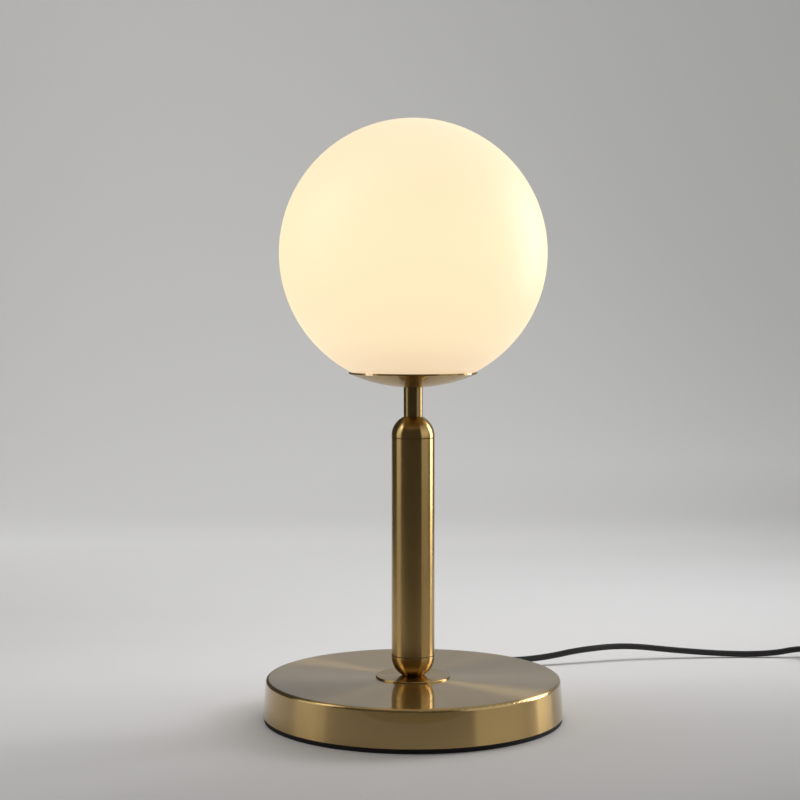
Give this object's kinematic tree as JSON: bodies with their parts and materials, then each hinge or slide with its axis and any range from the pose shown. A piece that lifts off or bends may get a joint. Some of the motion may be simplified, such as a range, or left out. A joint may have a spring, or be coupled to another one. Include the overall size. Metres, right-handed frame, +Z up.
{
  "type": "table lamp",
  "caption": "Table lamp with an opal glass globe on a shallow dish, a capped post, a heavy round base, and a lead with a rocker switch and plug.",
  "frame": {"origin": "centre of the base's underside, on the floor", "axes": "+Z up along the stem, +X to the right and +Y away from the one who faces the lamp, towards the side where the lead leaves the base"},
  "size_m": [0.579, 0.355, 0.4494],
  "materials": {
    "foam": "matt",
    "cast_weight": "rough",
    "brushed_brass": "brushed",
    "antique_brass": "satin",
    "clamp_plastic": "matt",
    "steel_fixings": "satin",
    "plated_rod": "satin",
    "lead_sheath": "smooth",
    "holder_plastic": "satin",
    "holder_ceramic": "matt",
    "contact_brass": "satin",
    "pad_clear": "gloss",
    "spring_steel": "satin",
    "opal_glass": "gloss",
    "bulb_plastic": "satin",
    "bulb_aluminium": "satin",
    "bulb_frost": "satin",
    "switch_plastic": "satin",
    "plug_plastic": "matt",
    "pin_brass": "satin",
    "tie_fabric": "matt"
  },
  "bodies": {
    "lamp": {"foot_pad": "foam", "base_weight": "cast_weight", "base_cover": "brushed_brass", "lead_clamp": "clamp_plastic", "clamp_screws": "steel_fixings", "rod_washer": "steel_fixings", "rod_nut": "steel_fixings", "base_flange": "antique_brass", "lower_cap": "antique_brass", "post_tube": "antique_brass", "upper_cap": "antique_brass", "neck_tube": "antique_brass", "threaded_rod": "plated_rod", "inner_lead": "lead_sheath", "glass_holder": "antique_brass", "rim_pads": "pad_clear", "globe_spring": "spring_steel", "holder_nut": "steel_fixings", "holder_cap": "holder_plastic", "holder_insert": "holder_ceramic", "holder_contact": "contact_brass", "holder_liner": "contact_brass", "holder_shell": "holder_plastic", "strain_relief": "lead_sheath", "lamp_lead": "lead_sheath", "switch_base": "switch_plastic", "switch_cover": "switch_plastic", "switch_contacts": "contact_brass", "switch_screws": "steel_fixings", "switch_lead": "lead_sheath", "lead_coil": "lead_sheath", "coil_tie": "tie_fabric", "plug_lead": "lead_sheath", "plug_body": "plug_plastic", "plug_pins": "pin_brass"},
    "globe": {"glass_globe": "opal_glass"},
    "bulb": {"bulb_contact": "contact_brass", "bulb_cap": "bulb_aluminium", "bulb_housing": "bulb_plastic", "bulb_diffuser": "bulb_frost"},
    "rocker": {"switch_rocker": "switch_plastic"}
  },
  "joints": [
    {"name": "globe_lift", "type": "slide", "parent": "lamp", "child": "globe", "axis": [0, 0, 1], "range_m": [0, 0.15]},
    {"name": "bulb_lift", "type": "slide", "parent": "lamp", "child": "bulb", "axis": [0, 0, 1], "range_m": [0, 0.03]},
    {"name": "switch_rock", "type": "hinge", "parent": "lamp", "child": "rocker", "pos_m": [0.385, 0.229, 0.0148], "axis": [0, 1, 0], "range_deg": [-16, 0]}
  ]
}
